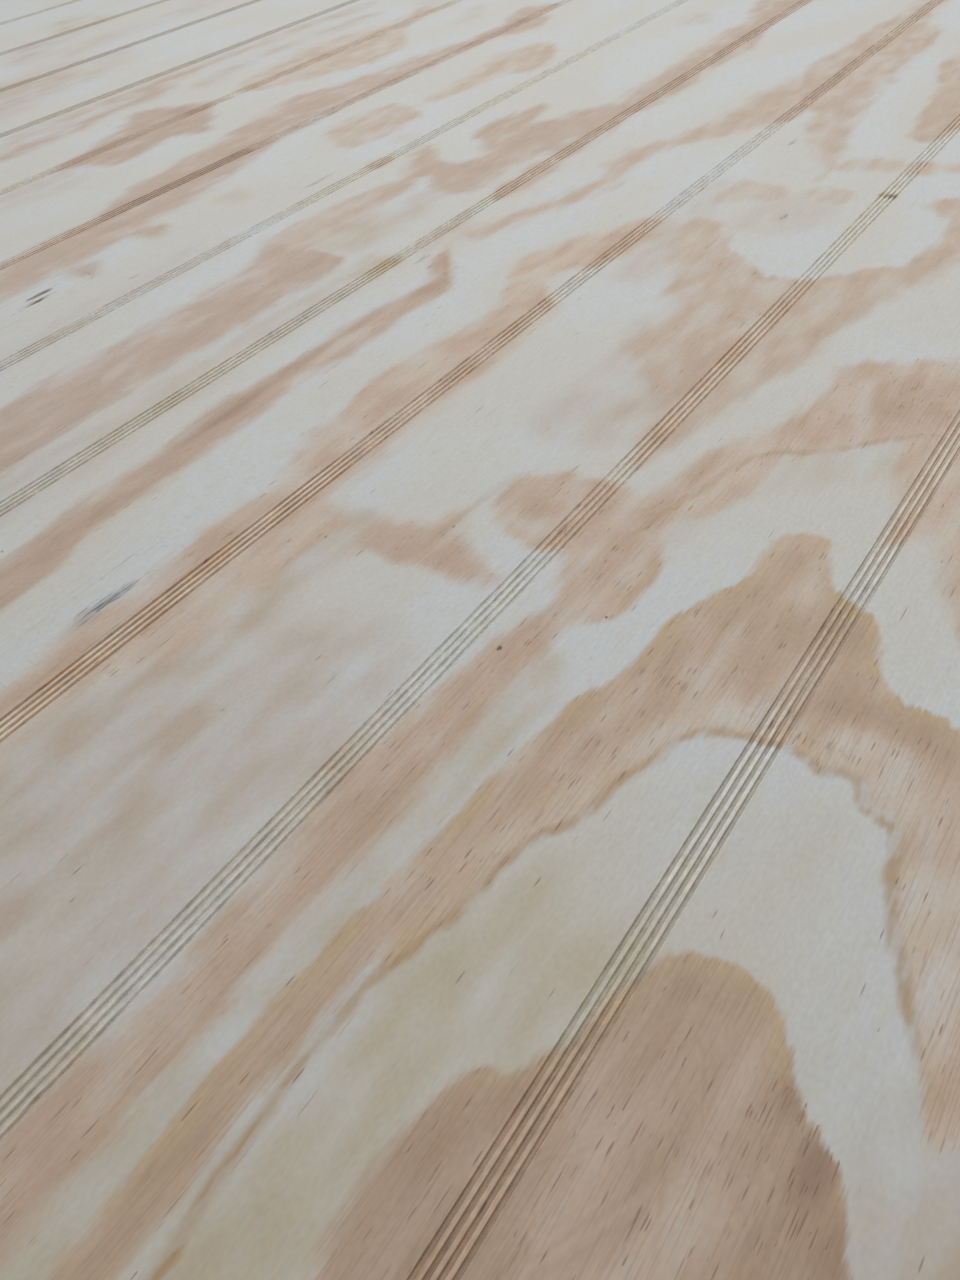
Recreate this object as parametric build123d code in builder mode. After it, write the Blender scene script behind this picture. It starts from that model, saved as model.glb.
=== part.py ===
"""Pine plywood lining sheet, grooved along its length in groups of fine parallel lines.

Millimetres. The origin is the middle of the plain back face. X runs along the sheet and its
grooves, Y across the sheet, and Z up through the thickness to the grooved face.
"""
import os
from math import floor, radians, tan

from build123d import *

# Sheet: a full stock sheet, sawn square on all four edges
SHEET_LENGTH = 2440.0
SHEET_WIDTH = 1220.0
SHEET_THICKNESS = 12.0

# Layout: equal groups, centred on the sheet, as many as leave each long edge its flat land
GROUP_SPACING = 100.0
EDGE_LAND = 90.0
GROOVES_PER_GROUP = 4

# Groove: a flat floor between two steep walls, with the arrises eased by the sander
GROOVE_MOUTH = 1.6
RIDGE_TOP = 0.9
GROOVE_DEPTH = 1.0
WALL_ANGLE = 80.0
ARRIS_EASE = 0.15

# Worked out from the sizes above
groove_pitch = GROOVE_MOUTH + RIDGE_TOP
group_count = 1 + floor((SHEET_WIDTH - 2 * EDGE_LAND) / GROUP_SPACING)
wall_lean = (GROOVE_DEPTH - ARRIS_EASE) / tan(radians(WALL_ANGLE))
half_mouth = GROOVE_MOUTH / 2
half_floor = half_mouth - ARRIS_EASE - wall_lean

# Half the groove's section, mirrored about its middle line; the face of the sheet is at 0
with BuildSketch() as groove_section:
    with BuildLine():
        Polyline(
            (0, 0),
            (half_mouth, 0),
            (half_mouth - ARRIS_EASE, -ARRIS_EASE),
            (half_floor, -GROOVE_DEPTH),
            (0, -GROOVE_DEPTH),
        )
        mirror(about=Plane.YZ)
    make_face()

with BuildPart() as grooved_sheet:
    with BuildSketch():
        Rectangle(SHEET_LENGTH, SHEET_WIDTH)
    extrude(amount=SHEET_THICKNESS)

    # Every groove is run from end to end of the sheet in one pass of the cutter
    with BuildSketch(Plane.YZ.offset(-SHEET_LENGTH / 2)):
        with Locations((0, SHEET_THICKNESS)):
            with GridLocations(GROUP_SPACING, 1, group_count, 1):
                with GridLocations(groove_pitch, 1, GROOVES_PER_GROUP, 1):
                    add(groove_section.sketch)
    extrude(amount=SHEET_LENGTH, mode=Mode.SUBTRACT)

grooved_sheet.part.label = "grooved_sheet"

os.makedirs("parts", exist_ok=True)
export_step(grooved_sheet.part, "parts/grooved_sheet.step")
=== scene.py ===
"""Looks of the grooved pine plywood sheet: face, edges, back, floor, light and camera."""
import math

import bpy
import numpy as np
from mathutils import Matrix, Vector


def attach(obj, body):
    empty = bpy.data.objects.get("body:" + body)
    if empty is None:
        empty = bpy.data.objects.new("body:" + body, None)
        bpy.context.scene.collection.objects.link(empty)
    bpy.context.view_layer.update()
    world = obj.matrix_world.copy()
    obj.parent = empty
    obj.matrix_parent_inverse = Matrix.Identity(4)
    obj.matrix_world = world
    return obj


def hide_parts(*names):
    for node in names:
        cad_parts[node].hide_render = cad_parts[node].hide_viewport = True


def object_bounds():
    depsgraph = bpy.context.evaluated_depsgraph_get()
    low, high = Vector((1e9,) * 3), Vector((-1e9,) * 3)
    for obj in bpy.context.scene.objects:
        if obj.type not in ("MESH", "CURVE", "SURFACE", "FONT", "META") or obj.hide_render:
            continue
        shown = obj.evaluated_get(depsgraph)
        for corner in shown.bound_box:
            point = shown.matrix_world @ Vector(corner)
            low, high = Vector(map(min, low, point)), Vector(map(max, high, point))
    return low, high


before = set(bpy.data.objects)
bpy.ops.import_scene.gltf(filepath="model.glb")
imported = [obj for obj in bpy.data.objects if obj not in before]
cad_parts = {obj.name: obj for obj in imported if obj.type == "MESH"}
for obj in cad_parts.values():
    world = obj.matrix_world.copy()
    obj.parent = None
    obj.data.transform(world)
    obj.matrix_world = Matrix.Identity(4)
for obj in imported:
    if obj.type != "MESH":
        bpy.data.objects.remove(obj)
cad_low, cad_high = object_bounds()

# Sizes in millimetres: the sheet's from the frame, and those of its plies and grooves
LENGTH, WIDTH, THICKNESS = (round((high - low) * 1000, 2) for low, high in zip(cad_low, cad_high))
PLIES = 5
GROUP_SPACING = 100.0
GROUP_CENTRES = [GROUP_SPACING * number for number in range(-5, 6)]
GROOVE_PITCH = 2.5
GROOVE_OFFSETS = [GROOVE_PITCH * (number - 1.5) for number in range(4)]
GROOVE_SECTION = ((-0.8, 0.0), (-0.65, 0.15), (-0.5, 1.0), (0.5, 1.0), (0.65, 0.15), (0.8, 0.0))
GROUP_HALF = GROOVE_OFFSETS[-1] + GROOVE_SECTION[-1][0]

# Steps of the mesh on the face and in the grooves: the finest, the share of the distance from the camera
# where that is more, and the coarsest. Beyond a margin round the view they grow with the distance from
# there. The back has evenly spread points.
FACE_STEPS = (2.2, 1 / 130, 34.0)
GROOVE_STEPS = (3.0, 1 / 100, 48.0)
VIEW_MARGIN = 10.0
STEP_GROWTH = 0.5
BACK_STATIONS = 41
FACE_KIND, EDGE_KIND, BACK_KIND = range(3)

# Camera, in millimetres and degrees: the point of the face below it, its height above the face, its
# heading, pitch and roll, and its lens and sensor. Corners of the part of the face that it sees, which
# gets the finest mesh.
CAMERA_FOOT = (-500.0, -549.7)
CAMERA_HEIGHT = 227.1
CAMERA_TURNS = (38.46, 44.37, -5.25)
LENS_LENGTH = 28.125
SENSOR_HEIGHT = 36.0
VIEW_CORNERS = ((-414.0, -584.0), (506.0, -316.0), (219.0, 594.0), (-520.0, -427.0))

# Lamp, sky and floor. Lengths are in metres, and the lamp's power is in watts
LAMP_SIZE = 2.4
LAMP_PLACE = (0.62, 0.07, 0.7)
LAMP_POWER = 16.4
SKY_STRENGTH = 0.363
FLOOR_REACH = 40.0
FLOOR_HEIGHT = -0.0004
FLOOR_GLOW = 0.42

# Names under which the mesh keeps the looks of the face, the third number under 'wash' being the grooves'
# tint with painted light and shade, and the strip near one edge whose grooves are darker with painted
# shade, from and to y
MARK_NAMES = ("mark", "mark_too")
LOOK_NAMES = ("figure", "tint", "seam", "wash", *MARK_NAMES)
SHADED_GROOVE_STRIP = (-440.0, -460.0)

# Lines of the figure, in millimetres: spacing of the points sampled on them, how far from a line places
# are looked at, and the distance stored where none is near. PLACES_AT_ONCE limits the memory in use.
LINE_STEP = 2.5
WASH_STEP = 5.0
REGION_REACH = 40.0
WASH_REACH = 30.0
SEAM_REACH = 20.0
FAR_AWAY = 60.0
PLACES_AT_ONCE = 4000

# How the looks change over, in millimetres: the blend of the tints of neighbouring regions and how deep
# inside it goes on, the ends of a stretch of grooves and its half width, the sides of a growth line, the
# strip outside the view where a formula takes over, and the margins within which a mark is looked at.
BLEND_SPAN = 4.0
BLEND_DEPTH = 12.0
CUT_FADE = 8.0
CUT_REACH = 6.0
SEAM_FADE = (8.0, 14.0)
FORMULA_STRIP = (12.0, 90.0)
MARK_MARGINS = (26.0, 9.0)

# Tan figure of the face veneer, read off. Each region has: depth of colour, hue (-1 ochre to
# 1 pink), share of resin flecks, softness of its edge in millimetres, and its outline. A third number
# in an outline point is the softness from there on.
REGIONS = [
    (0.73, 0.08, 1, 3.4, [(-590, -500), (-520, -484), (-484, -479), (-470, -477), (-445, -479),
        (-432, -483, 2), (-429, -491), (-415, -497), (-397, -502), (-383, -508), (-378.5, -520, 1.4),
        (-381, -532), (-392, -541.5), (-400, -546.5), (-408, -557.5), (-421, -565), (-440, -574, 2),
        (-480, -600), (-540, -625), (-620, -560)]),
    (0.58, -0.05, 0.5, 1.8, [(-620, -441), (-560, -437), (-515, -434), (-485, -434), (-455, -432.5),
        (-430, -434.5), (-410, -436), (-390, -437), (-375, -439.5), (-350, -441), (-330, -444),
        (-312, -450), (-297, -452), (-280, -453), (-267, -457.5), (-255, -462.5), (-245, -465.5),
        (-230, -465), (-218, -468.5), (-212.5, -477.5), (-216, -482.5), (-225, -486.5), (-234, -490.5),
        (-240, -497), (-245, -509), (-253, -514), (-264, -516.5), (-271, -522.5), (-275.5, -530),
        (-276, -540), (-283, -560), (-296, -590), (-300, -640, 3.6), (-330, -640), (-312, -585),
        (-306, -560), (-300, -545), (-295, -530), (-297, -515), (-299, -500), (-302, -490), (-306, -483, 3),
        (-322, -474), (-345, -466), (-362, -459), (-378, -452), (-400, -450), (-430, -447), (-455, -446),
        (-480, -446), (-520, -447.5), (-560, -450), (-620, -453)]),
    (0.22, -0.05, 0.8, 1.8, [(-420, -446), (-398, -445), (-378, -446), (-362, -452), (-345, -459),
        (-322, -467), (-306, -475, 4), (-296, -490), (-290, -515), (-288, -535), (-298, -565), (-310, -640),
        (-350, -640), (-366, -600), (-380, -583), (-393, -574.5), (-391, -569.5, 2.6), (-381, -566.5),
        (-373, -563, 1.4), (-361, -557), (-352, -552), (-343, -548), (-330, -544), (-319.5, -541),
        (-317, -536.5), (-316.5, -532), (-311, -529), (-307, -525), (-308.5, -521), (-311.5, -517),
        (-308.5, -511), (-308.5, -503), (-310.5, -494), (-313.5, -486), (-321, -480), (-334, -476),
        (-345, -472), (-362, -468.5), (-371, -463), (-385, -459), (-404, -457), (-418, -453.5),
        (-425, -450)]),
    (0.40, 0.06, 0.45, 5, [(-620, -406), (-560, -406), (-506, -405), (-480, -406.5), (-463, -407),
        (-452, -407.5), (-440, -405.5), (-405, -406.5), (-380, -404), (-345, -405.5), (-318, -408),
        (-300, -414.5), (-289, -415), (-272, -408), (-266, -402, 4.6), (-270, -393), (-266, -378),
        (-258, -370), (-247, -367), (-235, -369), (-227, -376, 5.5), (-224, -386), (-222, -400),
        (-221, -412), (-212, -418), (-200, -420), (-185, -424), (-172, -432), (-155, -440), (-130, -444),
        (-112, -443), (-99, -445), (-92, -451), (-87, -460), (-82, -468), (-73, -481), (-58, -510),
        (-50, -560), (-70, -640), (-290, -640), (-268, -580), (-250, -548), (-232, -529), (-206, -518, 7),
        (-199, -507), (-203, -499), (-188, -496), (-165, -489), (-148, -484), (-146, -478), (-160, -465),
        (-172, -454), (-180, -450, 3.6), (-195, -449), (-212, -445), (-224, -438), (-231, -432.5),
        (-243, -432), (-252, -436, 2.6), (-262, -440), (-272, -438.5), (-285, -438.5), (-293, -434),
        (-299, -427, 4), (-350, -425.5), (-400, -425.5), (-480, -424.5), (-560, -424), (-620, -425)]),
    (0.40, 0.10, 0.3, 7, [(-299, -334), (-292, -334), (-285, -341), (-280, -350), (-275, -358),
        (-264, -362), (-275, -367), (-282, -376), (-286, -388), (-290, -395), (-295, -387), (-299, -375, 5),
        (-300.5, -362), (-300, -348), (-300, -338)]),
    (0.28, 0.06, 0.42, 5, [(-520, -281), (-470, -282), (-430, -281.5), (-405, -284), (-380, -283),
        (-358, -286), (-335, -283.5), (-320, -281), (-304, -283), (-290, -283), (-275, -280), (-255, -275),
        (-240, -276), (-228, -273.5), (-210, -270), (-190, -271), (-165, -275), (-135, -279), (-118, -280),
        (-104, -273), (-90, -265), (-72, -260, 7), (-58, -262), (-40, -270), (-22, -280), (-6, -289),
        (10, -300), (-10, -308), (-30, -308), (-48, -303), (-66, -296), (-72, -289), (-90, -286.5),
        (-98, -293), (-106, -302), (-118, -307), (-160, -309), (-240, -310), (-265, -311), (-286, -313, 5),
        (-288, -322), (-296, -328), (-310, -325), (-335, -326), (-365, -326), (-378, -322), (-388, -315),
        (-400, -311), (-420, -310, 6), (-460, -311), (-520, -313)]),
    (0.42, 0.00, 0.1, 7.5, [(-205, -400), (-180, -394), (-162, -388), (-150, -378), (-141, -368),
        (-131, -357), (-115, -353), (-92, -353), (-80, -350), (-67, -343), (-55, -338), (-42, -332),
        (-22, -322), (0, -316), (13, -321), (15, -331), (5, -341), (-11, -350, 4), (-17, -360), (-25, -371),
        (-35, -378), (-31, -387), (-30, -396), (-24, -406), (-15, -413), (-5, -420), (1, -430), (10, -437),
        (40, -440), (65, -438), (78, -427), (93, -425), (105, -440), (140, -480), (80, -520), (30, -470),
        (15, -457, 7), (0, -451), (-15, -446), (-35, -440), (-48, -435), (-64, -431), (-80, -431),
        (-105, -429), (-117, -423), (-130, -418), (-155, -416), (-170, -413), (-190, -407)]),
    (0.64, 0.15, 0.28, 6, [(-480, -229), (-430, -229.5), (-390, -230), (-365, -229), (-340, -226.5),
        (-300, -227), (-270, -224), (-250, -223), (-200, -225.5), (-160, -226), (-145, -229), (-128, -232),
        (-115, -232.5), (-107, -228), (-99, -222), (-90, -218.5), (-76, -215), (-84, -224), (-94, -233),
        (-107, -241), (-119, -246), (-131, -246), (-145, -246), (-180, -244), (-215, -243), (-250, -242),
        (-285, -244), (-325, -246), (-350, -248), (-380, -251), (-430, -253), (-480, -253)]),
    (0.64, 0.45, 0, 8, [(-450, -131), (-380, -132), (-330, -134), (-260, -135), (-200, -135), (-165, -133),
        (-140, -128), (-118, -123), (-112, -130, 3.5), (-114, -143), (-113, -152), (-112, -165),
        (-115, -175), (-124, -178, 5), (-160, -177), (-220, -178), (-250, -175), (-300, -177), (-345, -181),
        (-400, -185), (-450, -187)]),
    (0.42, 0.20, 0, 7, [(-122, -122), (-105, -118.5), (-76, -119), (-43, -123), (-14, -127), (-4, -133),
        (-12, -143), (-45, -146), (-76, -147), (-104, -147), (-120, -144)]),
    (0.66, 0.15, 0, 8, [(-12, -133), (10, -121), (30, -112), (42, -109), (48, -113), (38, -122), (28, -134),
        (29, -147), (42, -152), (56, -148), (68, -138), (74, -126), (86, -123), (112, -126), (148, -135),
        (135, -144), (118, -151), (124, -161), (142, -165), (151, -174), (170, -183), (150, -190),
        (90, -190), (40, -180), (10, -186), (-12, -175), (-10, -158), (2, -145)]),
    (0.46, 0.30, 0, 7.5, [(-10, -203), (10, -193), (60, -192), (110, -186), (160, -184), (200, -180),
        (270, -180), (340, -179), (400, -178), (425, -170), (460, -157), (520, -140), (600, -135),
        (600, -205), (480, -203), (430, -204), (380, -205), (340, -211), (320, -217), (290, -210),
        (220, -213), (170, -209), (120, -206), (60, -208), (10, -212)]),
    (0.44, 0.05, 0, 8.5, [(-58, -212), (-44, -217), (-12, -229), (20, -237), (44, -239), (68, -234),
        (92, -235), (114, -242), (134, -252), (160, -260), (200, -265), (250, -269), (300, -275),
        (370, -278), (410, -282), (440, -287), (500, -289), (600, -285), (600, -311), (500, -308),
        (440, -310), (425, -320), (410, -328), (385, -334), (350, -333), (300, -334), (240, -337),
        (190, -344), (150, -352), (122, -357), (116, -352), (138, -338), (158, -325), (190, -316),
        (205, -308), (178, -300), (160, -290), (140, -280), (120, -266), (104, -254), (88, -250),
        (68, -251), (44, -254), (20, -251), (-12, -242), (-44, -230), (-62, -221)]),
    (0.48, -0.10, 0, 5, [(176, -388), (182, -380), (215, -376), (250, -370), (288, -366), (303, -359),
        (330, -355), (360, -357), (420, -353), (520, -351), (520, -400), (330, -420), (240, -425),
        (200, -402, 6), (182, -397)]),
    (0.28, 0.00, 0, 8, [(110, -362), (122, -358), (134, -368), (140, -384), (142, -398), (152, -416),
        (168, -450), (142, -450), (132, -418), (122, -402), (120, -384)]),
    (0.26, 0.05, 0, 8, [(42, -320), (55, -315), (74, -320), (78, -332), (72, -349), (62, -350), (52, -338),
        (43, -331)]),
    (0.24, 0.00, 0, 6, [(64, -365), (74, -360), (86, -365), (85, -378), (76, -384), (67, -379)]),
    (0.58, 0.45, 0, 8, [(-340, 5), (-260, 3), (-180, 4), (-135, 7), (-112, 14), (-95, 22), (-60, 27),
        (-25, 31), (0, 34), (30, 41), (60, 46), (85, 48), (105, 45), (130, 34), (160, 25), (180, 20),
        (205, 23), (230, 19), (255, 15), (280, 11), (310, 10), (330, 17), (355, 23), (375, 22), (392, 12),
        (388, 1), (365, -8), (350, -14), (322, -21), (300, -16), (282, -6), (255, -3), (180, -3), (110, -3),
        (40, -3), (0, -10), (-40, -19), (-70, -25), (-100, -31), (-135, -35), (-180, -35), (-230, -38),
        (-340, -40)]),
    (0.30, 0.10, 0, 9, [(22, -55), (28, -40), (45, -24), (75, -24), (102, -32), (108, -46), (100, -62),
        (75, -71), (45, -68), (28, -64)]),
    (0.36, -0.30, 0, 9, [(120, -54), (150, -48), (185, -48), (215, -42), (242, -37), (272, -46), (280, -58),
        (268, -73), (240, -84), (214, -89), (200, -76), (180, -66), (145, -64), (122, -60)]),
    (0.72, 0.35, 0, 9, [(-98, 97), (-80, 103), (-60, 110), (-20, 122), (0, 134), (12, 142), (26, 136),
        (36, 122), (46, 116), (58, 107), (50, 97), (38, 84), (22, 68), (6, 56), (-6, 66), (-14, 74),
        (-40, 66), (-62, 64), (-76, 74), (-82, 88)]),
    (0.30, -0.05, 0, 9, [(86, 98), (95, 111), (130, 122), (180, 130), (220, 128), (255, 118), (300, 112),
        (335, 120), (350, 112), (330, 98), (290, 92), (268, 82), (250, 68), (240, 58), (225, 52), (175, 52),
        (150, 60), (125, 70), (108, 80), (92, 88)]),
]

# Faint washes on the pale wood, with no clear edge: strength, hue, softness and outline
WASHES = [
    (0.62, 0, 9, [(-520, -312), (-420, -311), (-300, -314), (-286, -322), (-290, -334), (-330, -338),
        (-420, -333), (-520, -345)]),
    (0.52, 0.2, 14, [(-560, -330), (-470, -325), (-400, -330), (-345, -345), (-330, -375), (-350, -392),
        (-420, -398), (-520, -396), (-600, -380)]),
    (0.50, 0.1, 6, [(-312, -322), (-290, -322), (-282, -335), (-292, -346), (-306, -340)]),
    (0.22, 0, 12, [(-640, -384), (-500, -384), (-474, -400), (-474, -470), (-500, -486), (-640, -486)]),
    (0.60, 0.1, 8, [(-380, -570), (-390, -563), (-404, -563), (-424, -569), (-450, -580), (-490, -606),
        (-470, -640), (-340, -640), (-366, -590)]),
    (0.45, 0.2, 4, [(-410, -321), (-398, -320), (-390, -324), (-400, -328), (-412, -327)]),
    (0.40, 0.3, 5, [(-440, -326), (-426, -325), (-416, -329), (-428, -333), (-444, -332)]),
    (0.40, 0.1, 5, [(-355, -331), (-345, -330), (-338, -335), (-346, -339), (-356, -337)]),
    (0.60, 0.3, 4, [(-480, -353), (-440, -352), (-405, -351), (-392, -354), (-400, -358), (-440, -361),
        (-480, -363)]),
    (0.62, 0.2, 4, [(-410, -346), (-396, -345), (-387, -348), (-392, -352), (-408, -352)]),
    (0.40, 0.4, 7, [(-450, -312), (-425, -314), (-380, -318), (-352, -324), (-360, -330), (-390, -330),
        (-440, -326)]),
    (0.40, 0.1, 4, [(-389, -392), (-376, -389), (-363, -394), (-366, -399), (-384, -400)]),
    (0.32, 0, 5, [(-366, -383), (-356, -380), (-348, -384), (-355, -391)]),
    (0.55, -0.6, 10, [(-560, -450), (-430, -451), (-395, -458), (-375, -466), (-385, -476), (-440, -474),
        (-560, -478)]),
    (0.42, -0.6, 18, [(-560, -480), (-440, -456), (-400, -470), (-385, -500), (-400, -540), (-470, -560)]),
    (0.16, -0.3, 16, [(-420, -470), (-350, -478), (-322, -500), (-322, -530), (-380, -560), (-440, -590)]),
    (0.50, -0.8, 4, [(-620, -422), (-400, -423), (-330, -424), (-310, -430), (-330, -440), (-400, -437),
        (-620, -440)]),
    (0.34, -0.2, 8, [(-246, -424), (-200, -424), (-172, -440), (-140, -482), (-160, -492), (-185, -470),
        (-205, -446), (-240, -436)]),
    (0.36, 0, 8, [(-420, -180), (-330, -182), (-118, -180), (-104, -176), (-100, -190), (-108, -205),
        (-200, -206), (-270, -208), (-420, -212)]),
    (0.60, -0.4, 5, [(-128, -192), (-106, -188), (-98, -198), (-106, -209), (-124, -208)]),
    (0.50, 0.1, 8, [(-108, -150), (-60, -150), (-10, -160), (0, -172), (-60, -176), (-104, -174)]),
    (0.42, 0.1, 7, [(-90, -204), (-60, -198), (-38, -202), (-52, -214), (-80, -214)]),
    (0.36, 0.3, 9, [(-205, -350), (-140, -352), (-100, -348), (-90, -366), (-130, -380), (-170, -394),
        (-200, -388)]),
    (0.40, 0, 5, [(-182, -379), (-170, -377), (-164, -383), (-170, -390), (-182, -388)]),
    (0.32, 0.3, 9, [(15, -340), (60, -352), (70, -370), (40, -384), (18, -372)]),
    (0.40, -0.5, 3, [(30, -355), (36, -354), (44, -357), (40, -361), (32, -360)]),
    (0.34, -0.6, 2, [(86, -356), (100, -355), (116, -357), (116, -359), (100, -360), (88, -359)]),
    (0.55, -0.5, 4, [(76, -424), (84, -421), (92, -428), (90, -438), (80, -438)]),
    (0.40, 0.4, 12, [(-60, -309), (40, -303), (70, -312), (20, -322), (-60, -330)]),
    (0.95, 0.5, 5, [(-198, -28), (-180, -27), (-160, -31), (-168, -38), (-190, -38)]),
    (0.90, 0.4, 6, [(-199, -40), (-186, -38), (-180, -46), (-186, -59), (-197, -58)]),
    (0.95, 0.2, 6, [(-146, -35), (-134, -33), (-126, -41), (-130, -52), (-143, -53)]),
    (0.50, -0.5, 8, [(-86, -46), (-76, -42), (-66, -46), (-68, -60), (-80, -60)]),
    (0.30, 0.1, 10, [(-290, -88), (-200, -84), (-130, -84), (-130, -104), (-200, -104), (-310, -106)]),
    (0.95, 0.4, 3, [(-2, -95), (10, -93), (20, -99), (16, -106), (2, -105)]),
    (0.34, -0.2, 8, [(44, -86), (56, -82), (60, -92), (44, -96)]),
    (0.34, -0.4, 8, [(362, -134), (380, -126), (404, -130), (400, -146), (372, -152)]),
    (0.40, 0.1, 10, [(100, 40), (150, 34), (240, 22), (240, 10), (120, 10), (60, 14)]),
    (0.40, 0.4, 12, [(-170, 74), (-110, 66), (-80, 80), (-100, 96), (-180, 97)]),
    (0.36, 0.2, 9, [(340, 104), (345, 130), (360, 136), (375, 118), (366, 96), (350, 88)]),
    (0.36, -0.6, 9, [(300, 54), (330, 46), (370, 64), (362, 72), (320, 60)]),
    (0.90, 0.5, 8, [(-110, 152), (-40, 150), (10, 160), (40, 154), (74, 162), (60, 172), (-20, 168),
        (-100, 166)]),
    (0.80, 0.3, 8, [(-90, 176), (0, 178), (60, 172), (110, 178), (100, 188), (0, 190), (-80, 188)]),
    (0.60, 0.2, 10, [(80, 140), (180, 148), (300, 140), (300, 154), (180, 160), (100, 154)]),
    (0.60, 0.1, 10, [(100, 172), (220, 176), (330, 168), (330, 184), (200, 190), (110, 188)]),
    (0.55, 0.5, 18, [(-60, 240), (10, 244), (60, 256), (56, 276), (40, 300), (10, 320), (-60, 310)]),
    (0.30, 0.3, 18, [(60, 250), (110, 262), (140, 290), (100, 310), (40, 320)]),
    (0.36, 0.3, 16, [(100, 330), (180, 332), (290, 336), (300, 362), (200, 352), (110, 352)]),
    (0.50, 0.6, 16, [(60, 350), (120, 372), (170, 392), (200, 400), (150, 402), (90, 396)]),
    (0.45, -0.4, 16, [(150, 404), (205, 402), (210, 430), (190, 452), (160, 440)]),
]

# Places that are darker than the rest of their region: x, y, half length, half width, amount
DEPTHS = [
    (-495, -440, 34, 5, 0.30), (-455, -490, 40, 14, 0.15), (-400, -545, 8, 5, 0.40),
    (-411, -554, 9, 5, 0.60), (-425, -563, 11, 5, 0.45), (-442, -572, 12, 5, 0.30),
    (-450, -524, 24, 16, -0.30), (-430, -500, 14, 6, 0.20), (-460, -553, 40, 8, 0.32),
    (-285, -528, 9, 28, 0.40), (-300, -512, 7, 14, 0.10), (-359, -563, 11, 5, -0.75),
    (-306, -487, 9, 6, -0.70), (-297, -520, 8, 11, -0.28), (-312, -551, 10, 5, 0.30),
    (-325, -473, 9, 4, -0.25), (-324, -552, 8, 4, 0.35), (-236, -478, 12, 10, -0.15),
    (-341, -551, 9, 3, -0.35), (-384, -568, 8, 4, 0.45), (-345, -450, 40, 5, 0.12),
    (-280, -470, 30, 8, 0.10), (-250, -500, 24, 12, 0.10), (-246, -388, 10, 18, 0.15),
    (-259, -384, 5, 10, -0.35), (-225, -386, 3, 14, 0.20), (-258, -425, 26, 8, 0.15),
    (-380, -416, 110, 6, 0.25), (-110, -478, 34, 20, 0.15), (-160, -505, 60, 22, -0.15),
    (-195, -436, 50, 8, -0.30), (-165, -470, 24, 14, -0.35), (-188, -462, 14, 10, -0.25),
    (-290, -368, 12, 10, 0.35), (-292, -345, 8, 8, -0.10), (-345, -293, 110, 8, 0.15),
    (-345, -318, 60, 10, -0.15), (-150, -294, 110, 9, 0.25), (-30, -297, 24, 9, 0.30),
    (-75, -275, 22, 8, -0.10), (-115, -392, 60, 10, 0.20), (-110, -372, 20, 5, -0.25),
    (-75, -425, 50, 8, 0.15), (0, -446, 50, 8, 0.15), (-20, -336, 26, 10, -0.10), (-30, -380, 10, 20, 0.10),
    (-345, -238, 50, 4, 0.35), (-262, -232, 34, 4, 0.60), (-200, -229, 70, 3, 0.45),
    (-112, -237, 22, 5, 0.40), (-200, -237, 60, 5, -0.25), (-330, -248, 70, 3, -0.25),
    (-128, -162, 22, 16, 0.25), (-340, -176, 50, 6, 0.30), (-190, -165, 50, 12, 0.12),
    (-230, -142, 90, 6, -0.20), (-340, -150, 50, 8, 0.10), (40, -166, 50, 9, 0.20),
    (108, -160, 30, 14, 0.15), (10, -140, 12, 12, 0.15), (5, -201, 18, 6, 0.25), (150, -198, 60, 8, 0.30),
    (230, -199, 60, 8, 0.25), (340, -196, 110, 8, 0.35), (450, -192, 50, 10, 0.30),
    (270, -298, 80, 7, 0.40), (380, -299, 50, 7, 0.12), (190, -275, 40, 8, 0.12), (470, -299, 50, 8, 0.10),
    (230, -385, 50, 8, 0.25), (215, -400, 40, 7, 0.30), (300, -318, 60, 8, -0.05), (-75, 2, 70, 9, 0.30),
    (-20, 2, 30, 6, 0.25), (60, 22, 60, 12, 0.12), (225, 2, 60, 6, 0.20), (325, -2, 30, 9, 0.35),
    (-200, -6, 50, 8, 0.10), (78, -46, 20, 12, 0.12), (248, -66, 20, 14, 0.15), (-55, 99, 34, 8, 0.35),
    (28, 112, 10, 20, 0.30), (14, 74, 14, 12, 0.30), (42, 98, 14, 8, 0.30), (100, 99, 14, 7, 0.35),
    (190, 99, 70, 7, 0.20),
]

# Places with more short resin dashes than their region has elsewhere: x, y, half length, half width, amount
DASHES = [
    (-440, -520, 60, 40, 0.2), (-408, -551, 24, 10, 3.4), (-370, -459, 44, 6, 2.2),
    (-304, -513, 9, 26, 2.4), (-445, -452, 40, 3, 4.6), (-500, -454, 34, 3, 4), (-296, -520, 10, 30, 0.5),
    (-338, -551, 16, 5, 2.2), (-345, -562, 34, 8, 0.8), (-378, -568, 16, 5, 1.6), (-430, -462, 40, 5, 0.6),
    (-330, -468, 30, 8, 1.6), (-455, -446, 50, 4, 1.4), (-280, -440, 60, 5, 0.8), (-300, -455, 50, 10, 0.8),
    (-280, -466, 50, 14, 0.5), (-400, -443, 60, 6, 0.5), (-290, -370, 10, 8, 1.2), (-250, -424, 40, 8, 0.6),
    (-180, -448, 30, 12, 0.8), (-120, -480, 50, 16, 0.6), (-90, -500, 40, 16, 0.7),
    (-250, -500, 40, 14, 0.3), (-440, -415, 80, 6, 0.5), (-340, -416, 60, 6, 0.4), (-100, -395, 40, 8, 0.3),
    (-430, -352, 40, 10, 0.8),
]
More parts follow.
